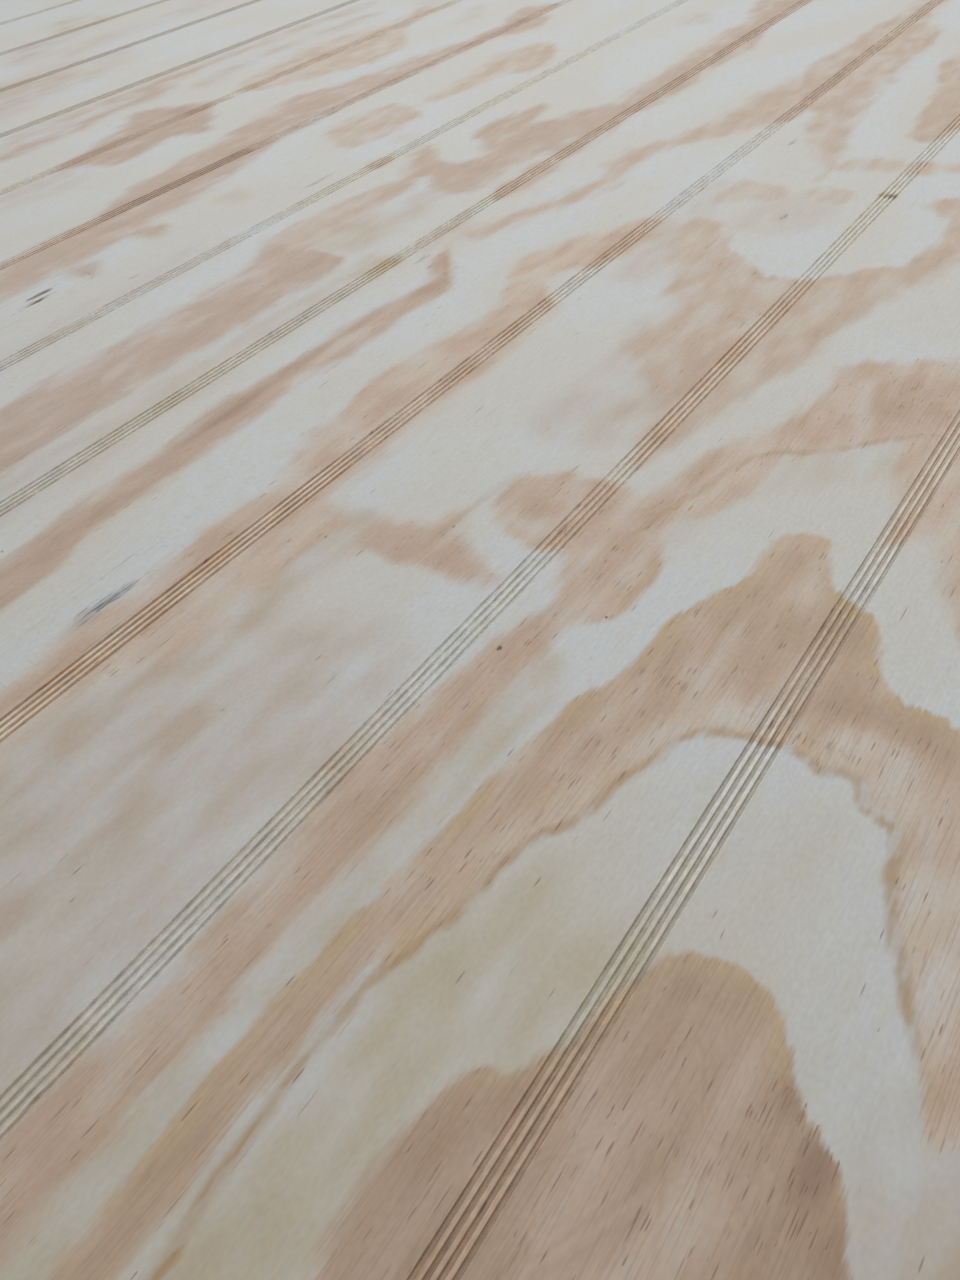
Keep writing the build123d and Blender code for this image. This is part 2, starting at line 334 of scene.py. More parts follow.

# Stretches where the grooves look unlike the rest: group, start, end and amount. They are browner up to 1
# and darker above it with painted shade, and below 0 they are paler and more even with painted light that
# lifts the shade in the grooves.
GROOVE_TINT_AND_PAINTED_LIGHT = [
    (-500, -365, -300, 0.9), (-500, -232, -120, 0.5), (-500, -480, -420, 0.5), (-400, -300, -284, 0.5),
    (-400, -206, -55, 0.7), (-400, 82, 94, 2.1), (-400, 196, 260, 0.3), (-300, -460, -262, 1),
    (-300, -150, -95, 0.3), (-200, -135, -112, 0.4), (-200, -102, -34, -0.8), (-300, 0, 400, -0.8),
    (-100, -250, -60, -0.7), (-100, 120, 420, -1), (-200, -20, 90, 0.5), (-200, 100, 470, 0.5),
    (-100, -6, 20, 0.9), (0, -200, -135, 1), (0, -135, -5, 1.7), (0, 120, 300, 0.3), (100, -92, -35, 1),
    (100, 24, 78, 1.4), (100, 90, 150, 0.4), (200, -260, 420, 1.75), (300, -240, 420, 1.9),
    (400, -200, 420, 1.8), (500, -200, 300, 1.7),
]

# Thin brown growth lines. A third number in a point is the strength from there on.
SEAMS = [
    [(-620, -458, 0.9), (-560, -455), (-500, -453, 1.3), (-485, -451), (-468, -450), (-450, -449, 0.9),
        (-430, -449.5), (-417, -453), (-404, -456.5), (-385, -458.5), (-371, -462.5), (-362, -468),
        (-345, -471.5), (-334, -475.5), (-321, -479.5), (-314, -486), (-311, -494), (-309.5, -503),
        (-309.5, -511), (-312.5, -517), (-309.5, -521), (-308.5, -525), (-312, -528.5), (-318, -531, 1.1),
        (-318.5, -536), (-321, -540.5), (-330, -543), (-343, -547), (-352, -551), (-361, -556),
        (-367, -559), (-373, -562, 0.8), (-379, -565, 0)],
    [(-262, -420, 0), (-250, -421.5, 0.6), (-240, -423), (-220, -428), (-200, -433), (-185, -437),
        (-178, -441), (-172, -447), (-168, -455), (-162, -463), (-155, -469), (-148, -475), (-141, -483),
        (-128, -500, 0)],
    [(-560, -421, 0.35), (-500, -421.5), (-420, -421), (-340, -422), (-300, -421), (-270, -421, 0)],
    [(-286, -361, 0), (-276, -361, 0.45), (-268, -361.5), (-258, -362.5), (-246, -363.5),
        (-232, -363.5, 0)],
    [(-118, -244, 0), (-107, -238, 0.6), (-99, -231), (-90, -224), (-78, -217, 0)],
]

# Single marks on the face: x, y, half length, half width, strength, and 0 for grey or 1 for brown.
# Marks in one list lie well apart.
MARKS = [
    [(-375, -282, 13, 4.4, 1, 0), (-222, -52, 10, 1.7, 0.85, 1), (-184, -83, 6, 1.5, 0.8, 0),
        (-36, -84, 15, 1.7, 0.65, 0), (-94, -213, 10, 2.2, 0.65, 0), (-303, -325.5, 1, 0.8, 0.9, 0),
        (-372, -224, 1, 0.9, 0.8, 0), (-274, -363, 1.8, 0.7, 0.9, 1), (-318, -413, 1.1, 0.6, 0.9, 1),
        (-288, -435, 0.9, 0.7, 0.9, 1), (145, -321, 7, 1.8, 0.8, 0), (37, -361, 6, 2, 0.75, 0),
        (-12, -340, 10, 1.2, 0.5, 0), (88, -400, 4, 6, 0.55, 1), (-342, -471, 3, 0.7, 0.45, 1),
        (-387, -449, 4, 0.5, 0.6, 1)],
    [(-231, -58, 13, 1.9, 0.9, 1), (-365, -283, 11, 4, 1, 0)],
]


def shape_line(points, closed, spacing):
    """Smooth line through the points, sampled about every spacing millimetres. Columns: x, y, softness."""
    points = np.array(points, float)
    count = len(points)
    samples = []
    for i in range(count if closed else count - 1):
        near = points[i]
        far = points[(i + 1) % count]
        before = points[i - 1] if closed or i else near
        after = points[(i + 2) % count] if closed or i + 2 < count else far
        steps = max(1, int(np.hypot(*(far - near)[:2]) / spacing))
        for share in np.arange(steps) / steps:
            pull_in = (far - before) * 0.5
            pull_out = (after - near) * 0.5
            square, cube = share * share, share ** 3
            samples.append(near * (2 * cube - 3 * square + 1) + pull_in * (cube - 2 * square + share)
                           + far * (3 * square - 2 * cube) + pull_out * (cube - square))
    if not closed:
        samples.append(points[-1])
    return np.array(samples)


def with_softness(outline, softness):
    """The outline with a softness at every point."""
    rows = []
    for point in outline:
        if len(point) > 2:
            softness = point[2]
        rows.append((point[0], point[1], softness))
    return rows


def line_distance(x, y, line, closed):
    """Distance from each place to a line, with its softness there, the slope of the distance along x, and
    the side: 1 inside a closed line or left of an open one, otherwise -1."""
    start = line
    end = np.roll(line, -1, axis=0)
    if not closed:
        start, end = start[:-1], end[:-1]
    step = end[:, :2] - start[:, :2]
    length_squared = np.maximum((step ** 2).sum(1), 1e-9)
    distance = np.empty(len(x))
    softness = np.empty(len(x))
    slope = np.empty(len(x))
    side = np.empty(len(x))
    for first in range(0, len(x), PLACES_AT_ONCE):
        part = slice(first, first + PLACES_AT_ONCE)
        from_x = x[part, None] - start[None, :, 0]
        from_y = y[part, None] - start[None, :, 1]
        share = np.clip((from_x * step[:, 0] + from_y * step[:, 1]) / length_squared, 0, 1)
        off_x = from_x - share * step[:, 0]
        off_y = from_y - share * step[:, 1]
        squared = off_x ** 2 + off_y ** 2
        nearest = squared.argmin(1)
        rows = np.arange(len(nearest))
        distance[part] = np.sqrt(squared[rows, nearest])
        along = share[rows, nearest]
        softness[part] = start[nearest, 2] * (1 - along) + end[nearest, 2] * along
        slope[part] = off_x[rows, nearest] / np.maximum(distance[part], 1e-6)
        if closed:
            over = (start[None, :, 1] > y[part, None]) != (end[None, :, 1] > y[part, None])
            rise = np.where(np.abs(step[:, 1]) < 1e-9, 1e-9, step[:, 1])
            crossing = start[None, :, 0] + from_y * step[:, 0] / rise
            inside = (over & (x[part, None] < crossing)).sum(1) % 2 == 1
            side[part] = np.where(inside, 1.0, -1.0)
        else:
            turn = step[nearest, 0] * from_y[rows, nearest] - step[nearest, 1] * from_x[rows, nearest]
            side[part] = np.where(turn >= 0, 1.0, -1.0)
    return distance, softness, slope * side, side


def smooth_step(value, low, high):
    share = np.clip((value - low) / (high - low), 0, 1)
    return share * share * (3 - 2 * share)


def outside_view(x, y):
    """How far each place is outside the part that the camera sees, in millimetres, 0 within it."""
    corners = np.array([(*corner, 0.0) for corner in VIEW_CORNERS])
    distance, _, _, side = line_distance(x, y, corners, True)
    return np.where(side > 0, 0.0, distance)


def ring_field(x, y):
    """Growth rings as a rotary cut shows them, for the wood that the photograph doesn't show."""
    draw = np.random.default_rng(41)
    height = np.full(len(x), 0.2)
    rise_x = np.zeros(len(x))
    rise_y = np.zeros(len(x))

    # Waves of the height, in rings: their number, their spans along and across the sheet, the size of the
    # widest, and the power of the span by which narrower ones are smaller
    broad = (26, (520, 2600), (170, 620), 0.20, 0.7)
    fine = (16, (60, 240), (40, 160), 0.012, 0.0)
    for number, long_span, cross_span, full_size, power in (broad, fine):
        for _ in range(number):
            long_wave = draw.uniform(*long_span)
            cross_wave = draw.uniform(*cross_span)
            turn_x = draw.choice((-1, 1)) * 2 * math.pi / long_wave
            turn_y = 2 * math.pi / cross_wave
            phase = draw.uniform(0, 2 * math.pi)
            size = full_size * (cross_wave / cross_span[1]) ** power
            height += size * np.sin(turn_x * x + turn_y * y + phase)
            rise_x += size * turn_x * np.cos(turn_x * x + turn_y * y + phase)
            rise_y += size * turn_y * np.cos(turn_x * x + turn_y * y + phase)

    # Late wood begins softly in each ring and ends sharply with it
    steepness = np.maximum(np.hypot(rise_x, rise_y), 0.0016)
    share = height - np.floor(height)
    late_start = 0.56
    late = share >= late_start
    to_sharp = np.where(late, 1 - share, share) / steepness
    to_soft = np.abs(share - late_start) / steepness
    distance = np.where(late, 1, -1) * np.minimum(to_sharp, to_soft)
    sharp = to_sharp < to_soft
    softness = np.where(sharp, 2.0, np.clip(0.16 / steepness, 3, 16))
    slope = np.where(sharp, -1, 1) * rise_x / steepness
    tone = 0.45 + 0.3 * smooth_step(share, late_start, 1.0)
    hue = 0.15 + 0.35 * np.sin(height * 1.3 + 0.4)
    return distance, softness, slope, tone, hue


def mark_places(x, y, marks):
    """Each place as seen from the nearest mark, in half sizes of that mark, and how strong the mark is,
    below 0 for a brown one."""
    nearest = np.full(len(x), 1.0)
    found = np.zeros((len(x), 3))
    margin_x, margin_y = MARK_MARGINS
    for at_x, at_y, half_x, half_y, strength, brown in marks:
        reach = np.hypot((x - at_x) / (half_x + margin_x), (y - at_y) / (half_y + margin_y))
        near = reach < nearest
        nearest[near] = reach[near]
        found[near, 0] = (x[near] - at_x) / half_x
        found[near, 1] = (y[near] - at_y) / half_y
        found[near, 2] = -strength if brown else strength
    return found


def places_round(line, x, y, margin):
    """Numbers of the places within a margin of the box round a line."""
    low = line.min(0) - margin
    high = line.max(0) + margin
    return np.flatnonzero((x > low[0]) & (x < high[0]) & (y > low[1]) & (y < high[1]))


def face_figure(x, y):
    """The looks of the face veneer at each place: three numbers for each of the names in LOOK_NAMES."""
    # Nearest edge of the tan figure, and tints that blend by how near each region is
    distance, softness, slope, tone, hue, flecks = np.zeros((6, len(x)))
    distance -= FAR_AWAY
    softness += 4
    weight = np.full(len(x), 1e-6)
    tone += 0.5 * weight
    for depth, tint, fleck, soft, outline in REGIONS:
        line = shape_line(with_softness(outline, soft), True, LINE_STEP)
        place = places_round(line, x, y, REGION_REACH)
        away, edge_soft, edge_slope, side = line_distance(x[place], y[place], line, True)
        signed = away * side
        share = np.exp(np.clip(signed, -REGION_REACH, BLEND_DEPTH) / BLEND_SPAN)
        for total, value in ((weight, 1), (tone, depth), (hue, tint), (flecks, fleck)):
            total[place] += share * value
        nearer = signed > distance[place]
        best = place[nearer]
        distance[best] = signed[nearer]
        softness[best] = edge_soft[nearer]
        slope[best] = edge_slope[nearer]
    for total in (tone, hue, flecks):
        total /= weight
    for total, spots in ((tone, DEPTHS), (flecks, DASHES)):
        for at_x, at_y, half_x, half_y, amount in spots:
            reach = ((x - at_x) / half_x) ** 2 + ((y - at_y) / half_y) ** 2
            total += amount * np.exp(-1.2 * reach)

    # Grooves' tint with their painted light and painted shade, washes and growth lines
    groove_tint_and_light, wash, wash_hue, seam, seam_slope, seam_depth = np.zeros((6, len(x)))
    # Tint of the grooves, with painted shade above 1 and painted light below 0
    for group, start, end, amount in GROOVE_TINT_AND_PAINTED_LIGHT:
        begun = smooth_step(x, start - CUT_FADE, start + CUT_FADE)
        not_over = smooth_step(-x, -end - CUT_FADE, -end + CUT_FADE)
        groove_tint_and_light += np.where(np.abs(y - group) < CUT_REACH, begun * not_over * amount, 0.0)
    for amount, tint, soft, outline in WASHES:
        line = shape_line(with_softness(outline, soft), True, WASH_STEP)
        place = places_round(line, x, y, WASH_REACH)
        away, _, _, side = line_distance(x[place], y[place], line, True)
        cover = amount * smooth_step(away * side, -soft, soft)
        wash_hue[place] += cover * tint
        wash[place] += cover * (1 - wash[place])
    wash_hue /= np.maximum(wash, 0.05)
    seam += FAR_AWAY
    for points in SEAMS:
        line = shape_line(with_softness(points, 1.0), False, LINE_STEP)
        place = places_round(line, x, y, SEAM_REACH)
        away, strength, line_slope, side = line_distance(x[place], y[place], line, False)
        nearer = away < np.abs(seam[place])
        best = place[nearer]
        seam[best] = (away * side)[nearer]
        seam_slope[best] = line_slope[nearer]
        seam_depth[best] = strength[nearer]

    # Outside the camera's view the figure is made by ring_field
    other = smooth_step(outside_view(x, y), *FORMULA_STRIP)
    for total, made in zip((distance, softness, slope, tone, hue, flecks), (*ring_field(x, y), 0.35)):
        total += (made - total) * other
    for total in (wash, seam_depth, groove_tint_and_light):
        total *= 1 - other
    seam_depth *= 1 - smooth_step(np.abs(seam), *SEAM_FADE)
    looks = ((distance, softness, np.clip(slope, -1, 1)), (tone, hue, flecks),
             (seam, seam_slope, seam_depth), (wash, wash_hue, groove_tint_and_light))
    return (*(np.stack(three, 1) for three in looks), *(mark_places(x, y, marks) for marks in MARKS))


def visible_span(low, high):
    """Lowest and highest x of the face that the camera sees between two values of y."""
    corners = np.array(VIEW_CORNERS)
    found = []
    for i in range(4):
        start, end = corners[i], corners[(i + 1) % 4]
        for share in np.linspace(0, 1, 200):
            point = start + (end - start) * share
            if low - 1 <= point[1] <= high + 1:
                found.append(point[0])
    return (min(found), max(found)) if found else None


def stations(low, high, steps):
    """Places along the sheet where a strip of the face has its points, closest where the camera is near."""
    finest, growth, coarse = steps
    span = visible_span(low, high)
    middle = (low + high) / 2
    x = -LENGTH / 2
    places = [x]
    while x < LENGTH / 2:
        away = math.dist((x, middle, CAMERA_HEIGHT), (*CAMERA_FOOT, 0.0))
        step = max(finest, away * growth)
        if span is None:
            step = coarse
        else:
            outside = max(span[0] - VIEW_MARGIN - x, x - span[1] - VIEW_MARGIN, 0)
            if x < span[0]:
                step = min(coarse, max(step, outside * STEP_GROWTH))
            elif x > span[1]:
                step = min(coarse, step + outside * STEP_GROWTH)
        x += step
        places.append(x)
    places = np.array(places)
    return -LENGTH / 2 + (places + LENGTH / 2) * LENGTH / (places[-1] + LENGTH / 2)


def row_step(y):
    """Distance between rows of the face at y, finer near the camera."""
    span = visible_span(y - 40, y + 40)
    nearest_x = CAMERA_FOOT[0] if span is None else min(max(CAMERA_FOOT[0], span[0]), span[1])
    away = math.dist((nearest_x, y, CAMERA_HEIGHT), (*CAMERA_FOOT, 0.0))
    return max(FACE_STEPS[0], away * FACE_STEPS[1])


def section_rows():
    """Rows of the mesh across the face and down into its grooves: y, z and stations."""
    rows = []
    edges = [-WIDTH / 2]
    for centre in GROUP_CENTRES:
        edges += [centre - GROUP_HALF, centre + GROUP_HALF]
    edges.append(WIDTH / 2)
    for number in range(0, len(edges), 2):
        low, high = edges[number], edges[number + 1]
        at = stations(low, high, FACE_STEPS)
        count = max(8, round((high - low) / row_step((low + high) / 2)))
        rows += [(y, THICKNESS, at) for y in np.linspace(low, high, count + 1)]
        if number + 2 < len(edges):
            centre = (high + edges[number + 2]) / 2
            at = stations(high, edges[number + 2], GROOVE_STEPS)
            for offset in GROOVE_OFFSETS:
                for off_y, depth in GROOVE_SECTION:
                    if depth == 0.0 and abs(offset + off_y) > GROUP_HALF - 0.01:
                        continue
                    rows.append((centre + offset + off_y, THICKNESS - depth, at))
    return rows


def zip_rows(first, first_at, second, second_at):
    """Faces between two rows of points, whose places along the row may differ."""
    if len(first) == len(second) and np.allclose(first_at, second_at):
        return [(first[i], first[i + 1], second[i + 1], second[i]) for i in range(len(first) - 1)]
    faces = []
    i = j = 0
    while i < len(first) - 1 or j < len(second) - 1:
        ahead = i < len(first) - 1 and (
            j == len(second) - 1 or first_at[i + 1] + first_at[i] <= second_at[j + 1] + second_at[j])
        if ahead:
            faces.append((first[i], first[i + 1], second[j]))
            i += 1
        else:
            faces.append((first[i], second[j + 1], second[j]))
            j += 1
    return faces


def build_sheet():
    """The whole sheet as one closed mesh, with the figure of the face stored at its points."""
    face_rows = section_rows()
    coarse = np.linspace(-LENGTH / 2, LENGTH / 2, BACK_STATIONS)
    back_places = [-WIDTH / 2]
    for centre in GROUP_CENTRES:
        back_places += [centre - GROUP_SPACING / 2] if centre > GROUP_CENTRES[0] else []
        back_places += [centre + offset for offset in GROOVE_OFFSETS]
    back_places.append(WIDTH / 2)
    back_rows = [(y, 0.0, coarse) for y in sorted(back_places, reverse=True)]
    rows = face_rows + back_rows
    points = []
    indices = []
    for y, z, at in rows:
        indices.append(list(range(len(points), len(points) + len(at))))
        points += [(x, y, z) for x in at]
    faces = []
    kinds = []
    last_face = len(face_rows) - 1
    for number in range(len(rows)):
        following = (number + 1) % len(rows)
        made = zip_rows(indices[number], rows[number][2], indices[following], rows[following][2])
        faces += made
        on_edge = number in (last_face, len(rows) - 1)
        kind = FACE_KIND if number < last_face else (EDGE_KIND if on_edge else BACK_KIND)
        kinds += [kind] * len(made)
    for end in (0, -1):
        top = [indices[number][end] for number in range(len(face_rows))]
        top_at = [row[0] for row in face_rows]
        under = [indices[number][end] for number in range(len(rows) - 1, last_face, -1)]
        under_at = [rows[number][0] for number in range(len(rows) - 1, last_face, -1)]
        made = zip_rows(top, np.array(top_at), under, np.array(under_at))
        faces += made if end == 0 else [tuple(reversed(face)) for face in made]
        kinds += [EDGE_KIND] * len(made)
    points = np.array(points)
    mesh = bpy.data.meshes.new("plywood_sheet")
    mesh.from_pydata((points * 0.001).tolist(), [], faces)
    mesh.polygons.foreach_set("material_index", kinds)
    face_count = sum(len(row[2]) for row in face_rows)
    named = face_figure(points[:face_count, 0], points[:face_count, 1])
    for name, values in zip(LOOK_NAMES, named):
        whole = np.zeros((len(points), 3))
        whole[:face_count] = values
        kept = mesh.attributes.new(name, "FLOAT_VECTOR", "POINT")
        kept.data.foreach_set("vector", whole.astype(np.float32).ravel())
    mesh.validate()
    mesh.update()
    sheet = bpy.data.objects.new("plywood_sheet", mesh)
    bpy.context.scene.collection.objects.link(sheet)
    return sheet


def colour(red, green, blue):
    """Linear colour from the 0 to 255 values that a screen shows."""
    values = []
    for channel in (red, green, blue):
        share = channel / 255
        values.append(share / 12.92 if share <= 0.04045 else ((share + 0.055) / 1.055) ** 2.4)
    return (*values, 1.0)


class Value:
    """A number that a node works out, with the usual arithmetic."""

    def __init__(self, shader, socket):
        self.shader = shader
        self.socket = socket

    def __add__(self, other):
        return self.shader.math("ADD", self, other)

    def __sub__(self, other):
        return self.shader.math("SUBTRACT", self, other)

    def __rsub__(self, other):
        return self.shader.math("SUBTRACT", other, self)

    def __mul__(self, other):
        return self.shader.math("MULTIPLY", self, other)

    def held(self):
        """The same number, held between 0 and 1."""
        self.socket.node.use_clamp = True
        return self


class Shader:
    """Builds the nodes of one material."""

    def __init__(self, name):
        self.material = bpy.data.materials.new(name)
        self.material.use_nodes = True
        self.tree = self.material.node_tree
        self.surface = self.tree.nodes["Principled BSDF"]
        place = self.tree.nodes.new("ShaderNodeTexCoord").outputs["Object"]
        self.place = self.vector("SCALE", place, 1000.0)
        _, self.y, self.z = self.parts(self.place)

    def put(self, socket, value):
        value = value.socket if isinstance(value, Value) else value
        if isinstance(value, bpy.types.NodeSocket):
            self.tree.links.new(value, socket)
        else:
            socket.default_value = value

    def parts(self, vector):
        """The three numbers of a vector or colour."""
        node = self.tree.nodes.new("ShaderNodeSeparateXYZ")
        self.put(node.inputs[0], vector)
        return [Value(self, socket) for socket in node.outputs]

    def vector(self, operation, first, second):
        node = self.tree.nodes.new("ShaderNodeVectorMath")
        node.operation = operation
        self.put(node.inputs[0], first)
        self.put(node.inputs["Scale"] if operation == "SCALE" else node.inputs[1], second)
        return node.outputs[0]

    def math(self, operation, *values):
        node = self.tree.nodes.new("ShaderNodeMath")
        node.operation = operation
        for socket, value in zip(node.inputs, values):
            self.put(socket, value)
        return Value(self, node.outputs[0])

    def size(self, value):
        return self.math("ABSOLUTE", value)

    def ramp(self, value, low, high, start=0.0, end=1.0, smooth=True):
        """Value moved from low..high to start..end, and held there outside it."""
        node = self.tree.nodes.new("ShaderNodeMapRange")
        node.interpolation_type = "SMOOTHSTEP" if smooth else "LINEAR"
        for name, number in (("Value", value), ("From Min", low), ("From Max", high),
                             ("To Min", start), ("To Max", end)):
            self.put(node.inputs[name], number)
        return Value(self, node.outputs["Result"])

    def mix(self, share, first, second, blend="MIX"):
        node = self.tree.nodes.new("ShaderNodeMix")
        node.data_type = "RGBA"
        node.blend_type = blend
        node.clamp_factor = True
        for name, value in (("Factor", share), ("A", first), ("B", second)):
            self.put(node.inputs[name], value)
        return node.outputs["Result"]

    def tinted(self, shade, brightness):
        """The colour with all three channels scaled by a number."""
        node = self.tree.nodes.new("ShaderNodeCombineXYZ")
        for socket in node.inputs:
            self.put(socket, brightness)
        return self.mix(1.0, shade, node.outputs[0], "MULTIPLY")

    def scaled(self, sizes, shift):
        """The place on the object, divided by the sizes and moved a little."""
        scales = [1 / size for size in sizes] + [0.0] * (3 - len(sizes))
        place = self.vector("MULTIPLY", self.place, tuple(scales))
        return self.vector("ADD", place, (shift, shift * 0.7, shift * 1.3)) if shift else place

    def noise(self, sizes, detail, roughness, shift=0.0):
        """Noise whose features are about sizes millimetres long in x, y and, if given, z, centred on 0."""
        node = self.tree.nodes.new("ShaderNodeTexNoise")
        node.noise_dimensions = "3D" if len(sizes) == 3 else "2D"
        for name, value in (("Scale", 1.0), ("Detail", detail), ("Roughness", roughness),
                            ("Vector", self.scaled(sizes, shift))):
            self.put(node.inputs[name], value)
        return Value(self, node.outputs["Fac"]) - 0.5

    def lines(self, value, size):
        """Noise along one number, with features about size long, centred on 0."""
        node = self.tree.nodes.new("ShaderNodeTexNoise")
        node.noise_dimensions = "1D"
        for name, number in (("Scale", 1.0 / size), ("Detail", 1.0), ("W", value)):
            self.put(node.inputs[name], number)
        return Value(self, node.outputs["Fac"]) - 0.5

    def cells(self, sizes, shift):
        """Distance to the nearest of scattered points, and two random numbers for each point."""
        node = self.tree.nodes.new("ShaderNodeTexVoronoi")
        node.voronoi_dimensions = "2D"
        node.inputs["Scale"].default_value = 1.0
        self.put(node.inputs["Vector"], self.scaled(sizes, shift))
        chance, strength, _ = self.parts(node.outputs["Color"])
        return Value(self, node.outputs["Distance"]), chance, strength

    def stored(self, name):
        """The three numbers that the mesh keeps under a name."""
        node = self.tree.nodes.new("ShaderNodeAttribute")
        node.attribute_name = name
        return self.parts(node.outputs["Vector"])

    def finish(self, base, roughness):
        self.put(self.surface.inputs["Base Color"], base)
        self.surface.inputs["Roughness"].default_value = roughness

    def bump(self, height, strength, distance):
        node = self.tree.nodes.new("ShaderNodeBump")
        for name, value in (("Strength", strength), ("Distance", distance), ("Height", height)):
            self.put(node.inputs[name], value)
        self.put(self.surface.inputs["Normal"], node.outputs["Normal"])


def face_material():
    """Sanded pine face: pale early wood, tan late wood with ochre rims, fibre, flecks and cut grooves, with
    painted light and shade in the grooves and a painted sheen that greys the far tan.
    """
    s = Shader("pine_face")
    distance, softness, slope = s.stored("figure")
    tone, hue, fleck_share = s.stored("tint")
    seam, seam_slope, seam_depth = s.stored("seam")
    # The third number under 'wash' is the grooves' tint with their painted light and painted shade
    wash, wash_hue, groove_tint_and_light = s.stored("wash")
    fibre = s.noise((12, 0.8), 2, 0.65)
    teeth = s.noise((9, 1.2), 1, 0.6, 13)
    mottle = s.noise((11, 6), 1, 0.6, 31)
    blotch = s.noise((34, 12), 1, 0.6, 83)
    cloud = s.noise((120, 45), 0, 0.5, 57)
    streak = s.noise((50, 3.2), 1, 0.6, 71)
    grit = s.noise((2.0, 1.1), 0, 0.6, 19)

    # Edge of the tan wood: frayed where it crosses the grain, wavering, and lost in streaks where soft
    frayed = (teeth * 4.0 + fibre * 3.0) * s.ramp(cloud, -0.12, 0.14, 0.3, 1.0)
    ragged = slope * frayed + mottle * 3.0
    fine_waver = fibre * 0.8 + streak * 0.9
    loose = softness * blotch * 1.2 + s.math("MINIMUM", softness, 3.5) * fine_waver
    depth = distance + ragged + loose
    half = softness * 0.8
    cover = s.ramp(depth, half * -1.0, half)
    lively = s.ramp(fleck_share, 0.0, 0.5, 0.4, 1.0, smooth=False)
    strands = (streak * 0.25 + fibre * 0.75) * lively
    thin = blotch + strands * 0.45
    cover = cover * (tone * 0.70 + (thin + 0.58)).held()
    sharp = s.ramp(softness, 3.6, 1.6)
    rim = s.ramp(depth, 8.0, 1.5) * cover * sharp
    rim = rim * s.ramp(mottle + blotch, -0.25, 0.15, 0.2, 1.0) * s.ramp(tone, 1.05, 0.75)

    # Growth lines inside the tan wood run alongside its edge
    ring = s.lines(depth + blotch * 9.0, 2.6)

    # Pale wood, with broad clouds, small yellowish patches and the faint washes
    pale = s.mix(s.ramp(cloud, -0.18, 0.18), colour(194, 191, 184), colour(194, 195, 195))
    pale = s.mix(s.ramp(mottle, -0.05, 0.25, 0.0, 0.45), pale, colour(189, 186, 174))
    wash_colour = s.mix(s.ramp(wash_hue, -0.6, 0.6), colour(181, 168, 145), colour(181, 164, 151))
    pale = s.mix((wash * (thin * 2.4 + 1.0)).held(), pale, wash_colour)

    # Tan wood by its depth of colour and hue, with an ochre rim. It is greyer where flecks are few, in the
    # regions far from the camera, as a painted sheen.
    toned = tone + blotch * 0.9 + strands + ring * 0.4
    light_tan = s.mix(s.ramp(hue, -0.8, 0.8), colour(198, 179, 154), colour(198, 175, 161))
    deep_tan = s.mix(s.ramp(hue, -0.8, 0.8), colour(168, 142, 113), colour(163, 133, 115))
    tan = s.mix(s.ramp(toned, 0.0, 1.3, smooth=False), light_tan, deep_tan)
    tan = s.mix(s.ramp(tone, 0.9, 1.5, 0.0, 0.7), tan, colour(140, 115, 99))
    # Painted sheen: greyer tan where flecks are few, which are the regions far from the camera
    tan = s.mix(s.ramp(lively, 0.4, 1.0, 0.32, 0.0, smooth=False), tan, colour(184, 177, 169))
    tan = s.mix(rim * 0.45, tan, colour(189, 168, 130))
    wood = s.mix(cover, pale, tan)

    # Brown growth lines
    seam_place = seam + seam_slope * (frayed * 0.6) + mottle * 2.4
    seam_cover = s.ramp(s.size(seam_place), 3.0, 0.3) * seam_depth
    seam_cover = seam_cover * s.ramp(streak + mottle, -0.2, 0.12, 0.45, 1.0)
    wood = s.mix(seam_cover * 0.70, wood, colour(166, 137, 103))

    # Fine brown lines and short resin dashes along the grain
    lines = s.noise((22, 0.5), 0, 0.5, 91)
    line_share = (cover * (fleck_share + 0.25)).held()
    wood = s.mix(s.ramp(lines, 0.06, 0.20) * line_share * 0.22, wood, colour(146, 116, 95))
    crowd = s.ramp(mottle + streak, -0.15, 0.2, 0.15, 1.9)
    share = (fleck_share * 0.085 + 0.003) * crowd * (cover + 0.12)
    fleck = None
    for sizes, shift, low, high in (((17, 0.9), 5.0, 0.30, 0.06), ((8, 0.9), 9.0, 0.34, 0.10)):
        near, chance, strength = s.cells(sizes, shift)
        keep = s.math("LESS_THAN", chance, share) * (strength + 0.15).held()
        dash = s.ramp(near + teeth * 0.3, low, high) * keep
        fleck = dash if fleck is None else s.math("MAXIMUM", fleck, dash)
    wood = s.mix(fleck * 0.60, wood, colour(118, 80, 63))

    shade = fibre * s.ramp(cover, 0.0, 1.0, 0.15, 0.34) + 1.0 + mottle * 0.06 + grit * 0.10
    wood = s.tinted(wood, shade)

    # Single marks, broken up by stray scratches
    stray = (teeth + streak) * 1.8
    scratchy = s.ramp(teeth + fibre, -0.16, 0.14, 0.15, 1.0)
    for name in MARK_NAMES:
        off_x, off_y, strength = s.stored(name)
        away = s.math("SQRT", off_x * off_x + off_y * off_y)
        brown = s.math("LESS_THAN", strength, 0.0)
        mark = s.ramp(away + stray, 1.1, 0.2) * s.size(strength) * s.math("MAXIMUM", scratchy, brown)
        wood = s.mix(mark, wood, s.mix(brown, colour(96, 100, 100), colour(98, 68, 50)))
